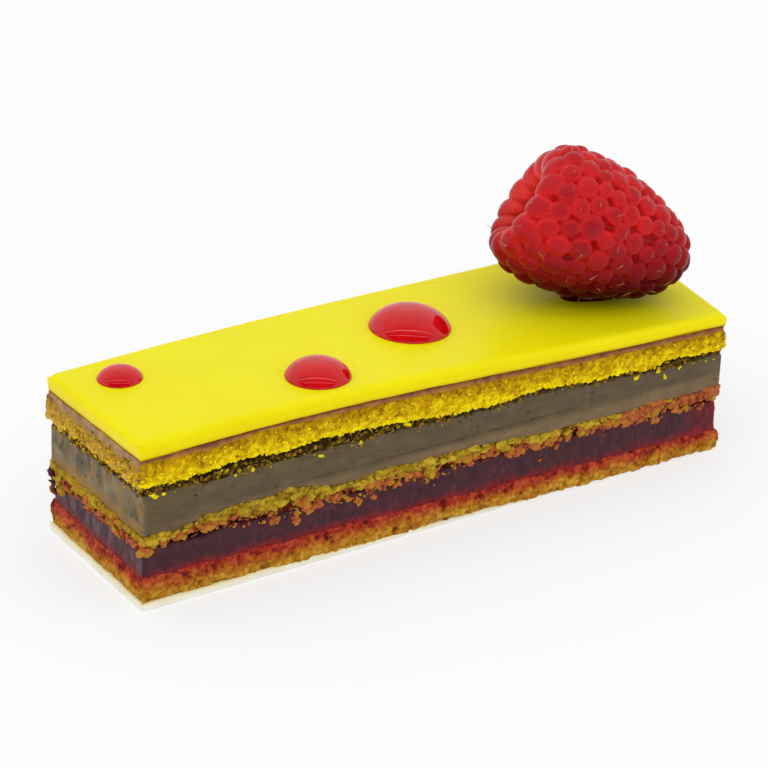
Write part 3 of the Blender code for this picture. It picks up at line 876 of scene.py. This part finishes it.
draw = random.Random(5)
upper_crumbs = crumb_piece("dry_crumbs", sponge_crumbs(draw), draw)
granules = crumb_piece("sponge_grit", sponge_granules(draw), draw, fineness=1)
dry = crumb_material(
    "dry_crumbs", (0.0, srgb(36, 24, 6)), (0.35, srgb(96, 72, 18)), (0.6, srgb(152, 116, 20)),
    (0.8, srgb(206, 170, 8)), (1.0, srgb(246, 224, 8)))
for piece in (upper_crumbs, granules):
    piece.data.materials.append(dry)


# ---------------------------------------------------------------------------------------
# The glaze: an opaque lemon-yellow mirror glaze, poured level and set to a firm gel. The
# warm knife has rounded its upper edge and left its cut sides smooth.
# ---------------------------------------------------------------------------------------
GLAZE_ROUNDING = 1.0 * MM
GLAZE_DROP = 0.65 * MM

glaze_corners = corners_of("yellow_glaze")
glaze_solid = solid_of("yellow_glaze")


def glaze_plan(u, v):
    near = glaze_corners[0].lerp(glaze_corners[1], u)
    far = glaze_corners[3].lerp(glaze_corners[2], u)
    return near.lerp(far, v)


def glaze_level(u, v, side):
    """The CAD glaze's height at a point of its plan; side is 1 for its top, -1 for below."""
    at = glaze_plan(u, v).to_3d()
    return glaze_solid.ray_cast(at + Vector((0, 0, side)), Vector((0, 0, -side)))[0].z


def level_curve(v, side):
    """The ends' heights and the two waves that make up the CAD glaze's bow along one side."""
    left, right = glaze_level(0.02, v, side), glaze_level(0.98, v, side)
    quarter, half = glaze_level(0.25, v, side), glaze_level(0.5, v, side)
    bow = half - (left + right) / 2
    lean = quarter - (left + (right - left) * 0.25) - bow * math.sin(math.pi / 4)
    return left, right, bow, lean


glaze_curves = {side: (level_curve(0.07, side), level_curve(0.93, side)) for side in (1, -1)}


def glaze_height(u, v, side):
    def along(curve):
        left, right, bow, lean = curve
        return (left + (right - left) * u + bow * math.sin(math.pi * u)
                + lean * math.sin(2 * math.pi * u))

    near, far = glaze_curves[side]
    return along(near) + (along(far) - along(near)) * v


def top_of_glaze(x, y):
    """The height of the glaze's top at a point of the part's frame."""
    u = (x - glaze_corners[0].x) / (glaze_corners[1].x - glaze_corners[0].x)
    near = glaze_corners[0].y + (glaze_corners[1].y - glaze_corners[0].y) * u
    far = glaze_corners[3].y + (glaze_corners[2].y - glaze_corners[3].y) * u
    return glaze_height(u, (y - near) / (far - near), 1)


def edge_stations(length, steps, inner):
    close = [step / length for step in steps]
    span = 1 - 2 * close[-1]
    return (close + [close[-1] + span * i / inner for i in range(1, inner)]
            + [1 - share for share in reversed(close)])


def build_glaze():
    length = (glaze_corners[1] - glaze_corners[0]).length
    width = (glaze_corners[3] - glaze_corners[0]).length
    steps = [GLAZE_ROUNDING * (1 - math.cos(math.pi / 2 * i / 7)) for i in range(8)]
    us = edge_stations(length, steps, 90)
    vs = edge_stations(width, steps, 26)
    columns, lines = len(us) - 1, len(vs) - 1
    bm = bmesh.new()
    rim = bm.verts.layers.float.new("rim")
    foot = bm.verts.layers.float.new("foot")
    bmesh.ops.create_grid(bm, x_segments=columns, y_segments=lines, size=0.5)
    raised = bmesh.ops.extrude_face_region(bm, geom=bm.faces[:])
    top = [part for part in raised["geom"] if isinstance(part, bmesh.types.BMVert)]
    bmesh.ops.translate(bm, verts=top, vec=(0, 0, 1))
    upright = [e for e in bm.edges if abs(e.verts[0].co.z - e.verts[1].co.z) > 0.5]
    bmesh.ops.subdivide_edges(bm, edges=upright, cuts=9)
    for vert in bm.verts:
        u = us[round((vert.co.x + 0.5) * columns)]
        v = vs[round((vert.co.y + 0.5) * lines)]
        level = vert.co.z
        u_depth = max(0.0, 1 - min(u, 1 - u) * length / GLAZE_ROUNDING)
        v_depth = max(0.0, 1 - min(v, 1 - v) * width / GLAZE_ROUNDING)
        depth = min(1.0, math.hypot(u_depth, v_depth))
        drop = GLAZE_DROP * (1 - math.sqrt(1 - depth * depth))
        low = glaze_height(u, v, -1) - 0.15 * MM
        high = glaze_height(u, v, 1) - drop
        at = glaze_plan(u, v).to_3d()
        if 0 < u < 1 and 0 < v < 1:
            at.z = high if level > 0.5 else low
        else:
            at.z = low + (high - low) * level
            out = Vector(((u == 1) - (u == 0), (v == 1) - (v == 0), 0)).normalized()
            swell = 0.12 * (1 - (1 - level) ** 2) + 0.05 * ripple(at / MM, 5.0)
            tuck = 0.2 * max(0.0, 1 - level * 6) ** 2
            at += out * (swell - tuck) * MM
            at.z += (1 - level) ** 3 * 0.12 * MM * ripple(at / MM, 4.0)
        vert[rim] = 1 - math.sqrt(1 - depth * depth)
        vert[foot] = max(0.0, 1 - level) ** 4
        vert.co = at
    bmesh.ops.recalc_face_normals(bm, faces=bm.faces)
    return finish_piece("lemon_glaze", bm, 50)


glaze = build_glaze()
material, tree, shader = new_material("lemon_glaze", srgb(240, 228, 20), 0.3,
                                      Specular_IOR_Level=0.07, Subsurface_Weight=0.15,
                                      Subsurface_Scale=0.001)
shader.inputs["Subsurface Radius"].default_value = (1.0, 0.8, 0.1)
cloud = grain(tree, 0.08, 2.0)
# Painted light: the level top a touch paler and greyer, the rounded edges and cut sides a deeper,
# cleaner yellow, blended by rim as the surface turns down.
face = ramp(tree, cloud, (0.3, srgb(231, 220, 4)), (0.7, srgb(235, 225, 10)))
edge = ramp(tree, cloud, (0.3, srgb(236, 219, 0)), (0.7, srgb(240, 225, 2)))
colour = blend(tree, attribute(tree, "rim"), face, edge)
tree.links.new(blend(tree, attribute(tree, "foot"), colour, srgb(214, 170, 8)),
               shader.inputs["Base Color"])
tree.links.new(spread(tree, grain(tree, 0.3, 3.0), 0.3, 0.7, 0.27, 0.33),
               shader.inputs["Roughness"])
bump(tree, shader, grain(tree, 0.12, 1.0), 0.02)
glaze.data.materials.append(material)
stand_for(glaze, "glaze", "yellow_glaze")


# ---------------------------------------------------------------------------------------
# The jelly dots: drops of clear red fruit jelly, piped on the set glaze in three sizes.
# Each has spread to a low dome with a tight rounded foot.
# ---------------------------------------------------------------------------------------
DOT_FOOT = 0.35 * MM
DOT_SPREAD, DOT_SHOULDER = 2.5, 0.68


def build_dot(node):
    low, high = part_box(node)
    middle = (low + high) / 2
    radius = (high.x - low.x) / 2
    height = high.z - top_of_glaze(middle.x, middle.y)
    bm = bmesh.new()
    bmesh.ops.create_uvsphere(bm, u_segments=96, v_segments=48, radius=1.0)
    for vert in bm.verts:
        up = vert.co.z
        flat = math.hypot(vert.co.x, vert.co.y)
        dome = up * DOT_FOOT
        if up > 0:
            dome = height * max(0.0, 1 - flat ** DOT_SPREAD) ** DOT_SHOULDER
        x = middle.x + vert.co.x * radius
        y = middle.y + vert.co.y * radius
        vert.co = (x, y, top_of_glaze(x, y) + dome)
    return finish_piece(node + "_drop", bm, 180)


def clear_jelly(name, light, dark):
    material, tree, shader = new_material(name, light, 0.02, Subsurface_Weight=0.25,
                                          Subsurface_Scale=0.0015, Specular_IOR_Level=0.4)
    shader.inputs["Subsurface Radius"].default_value = (1.0, 0.12, 0.1)
    tree.links.new(ramp(tree, grain(tree, 0.4), (0.3, dark), (0.7, light)),
                   shader.inputs["Base Color"])
    tree.links.new(spread(tree, grain(tree, 1.0), 0.3, 0.7, 0.01, 0.04),
                   shader.inputs["Roughness"])
    bump(tree, shader, grain(tree, 0.3, 1.0), 0.004)
    return material


red_jelly = clear_jelly("red_jelly", srgb(208, 10, 20), srgb(192, 2, 10))
for node in ("jelly_dot_small", "jelly_dot_medium", "jelly_dot_large"):
    dot = build_dot(node)
    dot.data.materials.append(red_jelly)
    stand_for(dot, "red_jelly", node)


# ---------------------------------------------------------------------------------------
# The jelly seat: a thick dab of the same jelly that the berry was pressed into, painted dark as shade
# under the berry.
# It has squeezed out from under the berry to an uneven rim with a wet shine.
# ---------------------------------------------------------------------------------------
SEAT_LENGTH, SEAT_WIDTH, SEAT_HEIGHT = 5.0, 3.4, 0.9
SEAT_TURN = math.radians(-28)


def build_seat():
    low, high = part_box("jelly_dab")
    middle = (low + high) / 2
    bm = bmesh.new()
    bmesh.ops.create_uvsphere(bm, u_segments=64, v_segments=32, radius=1.0)
    for vert in bm.verts:
        up, angle = vert.co.z, math.atan2(vert.co.y, vert.co.x)
        flat = math.hypot(vert.co.x, vert.co.y)
        wobble = 1 + 0.10 * math.sin(3 * angle + 1) + 0.06 * math.sin(5 * angle)
        along = flat * math.cos(angle) * SEAT_LENGTH * wobble
        across = flat * math.sin(angle) * SEAT_WIDTH * wobble
        x = middle.x / MM + along * math.cos(SEAT_TURN) - across * math.sin(SEAT_TURN)
        y = middle.y / MM + along * math.sin(SEAT_TURN) + across * math.cos(SEAT_TURN)
        lift = SEAT_HEIGHT * (1 - flat ** 3) if up > 0 else 0.3 * up
        vert.co = (x * MM, y * MM, top_of_glaze(x * MM, y * MM) + lift * MM)
    return finish_piece("jelly_seat", bm, 180)


seat = build_seat()
# Painted shade: a much darker copy of the dots' red jelly, for the shade under the berry.
seat.data.materials.append(clear_jelly("shaded_seat_jelly", srgb(96, 4, 16), srgb(66, 0, 10)))
stand_for(seat, "red_jelly", "jelly_dab")


# ---------------------------------------------------------------------------------------
# The raspberry: a ripe berry pulled off its core, so it is hollow and open at one end. Each
# drupelet is a thin skin full of juice, with a pale bloom where nothing has rubbed it off.
# ---------------------------------------------------------------------------------------
BERRY_LENGTH = 25.4
BERRY_PLACE = Vector((30.4, -2.2, 0.0))
BERRY_LOWER = 0.55
RIM_DROOP = 1.3
# Distance from the open end and radius of the flesh under the drupelets, in millimetres:
# outside from the tip to the rim, then down the hollow to its bottom.
BERRY_FLESH = ((24.1, 0.0), (23.6, 1.6), (22.3, 3.4), (20.0, 5.0), (16.0, 6.6), (11.5, 7.9),
               (7.5, 8.3), (4.0, 8.0), (1.9, 6.9), (1.5, 5.9), (2.3, 4.9), (5.0, 4.5),
               (9.0, 4.3), (13.0, 3.3), (15.0, 1.6), (15.5, 0.0))
BERRY_ROWS = 210
BERRY_SEGMENTS = 260
DRUPELET_PITCH = 2.75
RIM_DRUPELETS = 13
CREASE_FLOOR = 0.5

berry_turn = (Matrix.Rotation(math.radians(151.7), 3, "Z")
              @ Matrix.Rotation(math.radians(67.3), 3, "Y"))


def smooth_path(points, count):
    """Evenly spaced points along a curve through the given ones, and the curve's length."""
    ends = [2 * points[0] - points[1], *points, 2 * points[-1] - points[-2]]
    fine = []
    for a, b, c, d in zip(ends, ends[1:], ends[2:], ends[3:]):
        for i in range(24):
            t = i / 24
            fine.append(0.5 * (2 * b + (c - a) * t + (2 * a - 5 * b + 4 * c - d) * t ** 2
                               + (3 * b - a - 3 * c + d) * t ** 3))
    fine.append(points[-1])
    run = [0.0]
    for before, after in zip(fine, fine[1:]):
        run.append(run[-1] + (after - before).length)
    path = []
    at = 0
    for i in range(count + 1):
        want = run[-1] * i / count
        while at < len(run) - 2 and run[at + 1] < want:
            at += 1
        path.append(fine[at].lerp(fine[at + 1], (want - run[at]) / (run[at + 1] - run[at])))
    return path, run[-1]


berry_path, berry_run = smooth_path(
    [Vector((r, 0, BERRY_LENGTH / 2 - t)) for t, r in BERRY_FLESH], BERRY_ROWS)
rim_run = berry_run * max(range(BERRY_ROWS), key=lambda row: berry_path[row].z) / BERRY_ROWS


def on_berry(run, angle):
    """The flesh at a length along its path from the tip, the way out of it, and the way
    along the path."""
    row = min(BERRY_ROWS, max(0.0, run / berry_run * BERRY_ROWS))
    whole = min(BERRY_ROWS - 1, int(row))
    flat = berry_path[whole].lerp(berry_path[whole + 1], row - whole)
    before, after = berry_path[abs(round(row) - 2)].copy(), round(row) + 2
    after = berry_path[min(after, 2 * BERRY_ROWS - after)].copy()
    if row < 1.5:
        before.x = -before.x
    if row > BERRY_ROWS - 1.5:
        after.x = -after.x
    along = (after - before).normalized()
    spin = Matrix.Rotation(angle, 3, "Z")
    return (spin @ Vector((max(flat.x, 0.0), 0, flat.z)), spin @ Vector((along.z, 0, -along.x)),
            spin @ along)


class Drupelet:
    def __init__(self, run, angle, length, width, height, ripeness, held=False):
        self.run, self.angle, self.ripeness, self.held = run, angle, ripeness, held
        self.length, self.width, self.height = length, width, height
        self.settle()

    def settle(self):
        self.middle, self.out, self.along = on_berry(self.run, self.angle)
        self.around = self.out.cross(self.along)


def jostle(drupelets, rounds):
    """Pushes drupelets that are too close apart, along the flesh."""
    for _ in range(rounds):
        tree = KDTree(len(drupelets))
        for i, each in enumerate(drupelets):
            tree.insert(each.middle, i)
        tree.balance()
        for i, each in enumerate(drupelets):
            push = Vector((0, 0, 0))
            for _, j, gap in tree.find_range(each.middle, 4.0):
                want = (each.width + drupelets[j].width) * 0.9
                if j != i and gap < want:
                    push += (each.middle - drupelets[j].middle) / max(gap, 0.1) * (want - gap)
            radius = max(1.0, each.middle.to_2d().length)
            each.angle -= 0.25 * push.dot(each.around) / radius
            if not each.held:
                each.run += 0.25 * push.dot(each.along)
                each.run = min(rim_run - 2.5, max(0.0, each.run))
        for each in drupelets:
            each.settle()


def place_drupelets():
    """Drupelets from the tip to the rim, a row of long ones that roll over the rim, and the
    ridges that their roots leave down the hollow."""
    draw = random.Random(21)
    outer = []
    run = 0.0
    while run < rim_run - 1.4:
        middle = on_berry(run, 0.0)[0]
        count = max(1, round(2 * math.pi * middle.x / DRUPELET_PITCH))
        start = draw.uniform(0, 2 * math.pi)
        for i in range(count):
            angle = start + 2 * math.pi * (i + draw.uniform(-0.25, 0.25)) / count
            size = draw.uniform(0.82, 1.2)
            outer.append(Drupelet(run + draw.uniform(-0.6, 0.6) * (run > 0), angle,
                                  1.58 * size * draw.uniform(0.95, 1.12), 1.55 * size,
                                  1.6 * draw.uniform(0.9, 1.1), draw.random()))
        run += DRUPELET_PITCH * 0.87
    count = RIM_DRUPELETS
    for i in range(count):
        angle = 2 * math.pi * (i + draw.uniform(-0.12, 0.12)) / count
        outer.append(Drupelet(rim_run - 0.6, angle, draw.uniform(2.3, 2.8),
                              draw.uniform(1.75, 2.0), draw.uniform(1.35, 1.55),
                              0.5 * draw.random(), held=True))
    jostle(outer, 40)
    inner = []
    for ring in range(4):
        at = rim_run + 3.4 + 3.4 * ring
        count = max(3, round(2 * math.pi * on_berry(at, 0.0)[0].x / 2.1))
        for i in range(count):
            angle = 2 * math.pi * (i + draw.uniform(-0.15, 0.15)) / count
            inner.append(Drupelet(at, angle, 2.6, 1.15, 0.75, 0.3))
    return outer + inner


def droop(at):
    """The rim sags to one side, and the whole berry is laid down in its place."""
    angle = math.atan2(at.y, at.x)
    high = max(0.0, at.z / (BERRY_LENGTH / 2)) ** 2
    return berry_turn @ (at + Vector((0, 0, RIM_DROOP * high * math.cos(angle - 0.5))))


def build_berry(drupelets):
    tree = KDTree(len(drupelets))
    for i, each in enumerate(drupelets):
        tree.insert(each.middle, i)
    tree.balance()
    bm = bmesh.new()
    cap_mark = bm.verts.layers.float.new("cap")
    inner_mark = bm.verts.layers.float.new("inner")
    underside_shade_mark = bm.verts.layers.float.new("low")
    ripe_mark = bm.verts.layers.float.new("ripe")
    bmesh.ops.create_grid(bm, x_segments=BERRY_SEGMENTS, y_segments=BERRY_ROWS, size=0.5)
    for vert in bm.verts:
        angle = 2 * math.pi * (vert.co.x + 0.5)
        run = berry_run * (vert.co.y + 0.5)
        place, out, _ = on_berry(run, angle)
        height, cap, ripeness = 0.0, 0.0, 0.5
        for _, index, _ in tree.find_range(place, 3.2):
            each = drupelets[index]
            away = place - each.middle
            reach = ((away.dot(each.along) / each.length) ** 2
                     + (away.dot(each.around) / each.width) ** 2
                     + (away.dot(each.out) / each.length) ** 2)
            dome = math.sqrt(1 - reach ** 1.4) if reach < 1 else 0.0
            if each.height * dome > height:
                cap, height, ripeness = dome, each.height * dome, each.ripeness
        at = place + out * (max(CREASE_FLOOR, height) + 0.03 * ripple(place, 0.8))
        vert[cap_mark] = cap
        vert[ripe_mark] = ripeness
        vert[inner_mark] = min(1.0, max(0.0, (run - rim_run) / 2.0))
        vert.co = droop(at)
        # Painted shade: the low mark rises towards the bottom of the berry.
        vert[underside_shade_mark] = min(1.0, max(0.0, (3.5 - vert.co.z) / 9.5))
    bmesh.ops.remove_doubles(bm, verts=bm.verts, dist=0.004)
    bmesh.ops.recalc_face_normals(bm, faces=bm.faces)
    lowest = min(vert.co.z for vert in bm.verts)
    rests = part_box("raspberry")[0].z / MM - BERRY_LOWER
    seat = BERRY_PLACE + Vector((0, 0, rests - lowest))
    bmesh.ops.translate(bm, verts=bm.verts, vec=seat)
    bmesh.ops.scale(bm, verts=bm.verts, vec=(MM, MM, MM))
    return finish_piece("raspberry_drupelets", bm, 180), seat


drupelets = place_drupelets()
berry, berry_seat = build_berry(drupelets)
material, tree, shader = new_material("raspberry_skin", srgb(190, 20, 32), 0.3,
                                      Subsurface_Weight=0.2, Subsurface_Scale=0.0005,
                                      Specular_IOR_Level=0.2, Sheen_Weight=0.04,
                                      Sheen_Roughness=0.35, Sheen_Tint=(1.0, 0.5, 0.5, 1.0))
shader.inputs["Subsurface Radius"].default_value = (1.0, 0.10, 0.07)
# Painted light on each drupelet: a deeper, darker red down in the creases as painted shade, and a
# lighter ring part-way up its dome as a painted sheen.
cap = combine(tree, "ADD", attribute(tree, "cap"),
              spread(tree, grain(tree, 0.5, 4.0), 0.3, 0.7, -0.08, 0.08))
bright = ramp(tree, cap, (0.3, srgb(176, 0, 6)), (0.55, srgb(208, 4, 10)),
              (0.75, srgb(218, 28, 32)), (0.92, srgb(200, 20, 28)), (1.0, srgb(190, 22, 30)))
ripe = ramp(tree, cap, (0.3, srgb(156, 0, 6)), (0.55, srgb(186, 2, 10)),
            (0.75, srgb(186, 18, 26)), (0.92, srgb(162, 12, 24)), (1.0, srgb(148, 14, 28)))
skin = blend(tree, spread(tree, attribute(tree, "ripe"), 0.0, 1.0, 0.1, 0.8), bright, ripe)
colour = blend(tree, attribute(tree, "inner"), skin, srgb(246, 74, 58))
# Painted shade on the underside: blended towards near black by the low mark, with the specular turned
# down there too.
colour = blend(tree, combine(tree, "MULTIPLY", attribute(tree, "low"), 0.97), colour,
               srgb(58, 0, 6))
tree.links.new(spread(tree, attribute(tree, "low"), 0.2, 0.8, 0.16, 0.05),
               shader.inputs["Specular IOR Level"])
tree.links.new(colour, shader.inputs["Base Color"])
tree.links.new(spread(tree, grain(tree, 1.5, 4.0), 0.3, 0.7, 0.22, 0.4),
               shader.inputs["Roughness"])
bump(tree, shader, grain(tree, 2.5, 4.0), 0.03)
berry.data.materials.append(material)
stand_for(berry, "raspberry_skin", "raspberry")


# ---------------------------------------------------------------------------------------
# The hairs: the dried styles of the flower, one from the crown of about every second
# drupelet, thin, tan and curled.
# ---------------------------------------------------------------------------------------
HAIR_RADIUS = 0.055
HAIR_SIDES = 5
HAIR_STEPS = 7


def build_hairs():
    draw = random.Random(3)
    bm = bmesh.new()
    for each in drupelets:
        if each.height < 1.0 or draw.random() < 0.4:
            continue
        root = each.middle + each.out * (each.height - 0.08)
        root += each.along * draw.uniform(-0.5, 0.5) + each.around * draw.uniform(-0.5, 0.5)
        lean = (each.out * draw.uniform(0.1, 0.4) + each.along * draw.uniform(-1, 1)
                + each.around * draw.uniform(-1, 1)).normalized()
        curl = Vector([draw.uniform(-1, 1) for _ in range(3)])
        length = draw.uniform(0.6, 1.3) * (0.6 if droop(root).z > 8.0 else 1.0)
        made = bmesh.ops.create_grid(bm, x_segments=HAIR_SIDES, y_segments=HAIR_STEPS,
                                     size=0.5)["verts"]
        across = lean.orthogonal().normalized()
        for vert in made:
            angle = 2 * math.pi * (vert.co.x + 0.5)
            share = vert.co.y + 0.5
            middle = root + lean * length * share + curl * 0.5 * share * share
            thick = HAIR_RADIUS * (1 - 0.75 * share)
            spoke = Matrix.Rotation(angle, 3, lean) @ across
            vert.co = (droop(middle + spoke * thick) + berry_seat) * MM
    bmesh.ops.remove_doubles(bm, verts=bm.verts, dist=0.002 * MM)
    bmesh.ops.holes_fill(bm, edges=[edge for edge in bm.edges if edge.is_boundary])
    bmesh.ops.recalc_face_normals(bm, faces=bm.faces)
    return finish_piece("berry_hairs", bm, 180)


hairs = build_hairs()
material, tree, shader = new_material("dry_hair", srgb(196, 150, 92), 0.6)
tree.links.new(ramp(tree, grain(tree, 0.8), (0.3, srgb(150, 96, 52)), (0.7, srgb(222, 180, 124))),
               shader.inputs["Base Color"])
hairs.data.materials.append(material)
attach(hairs, "root")
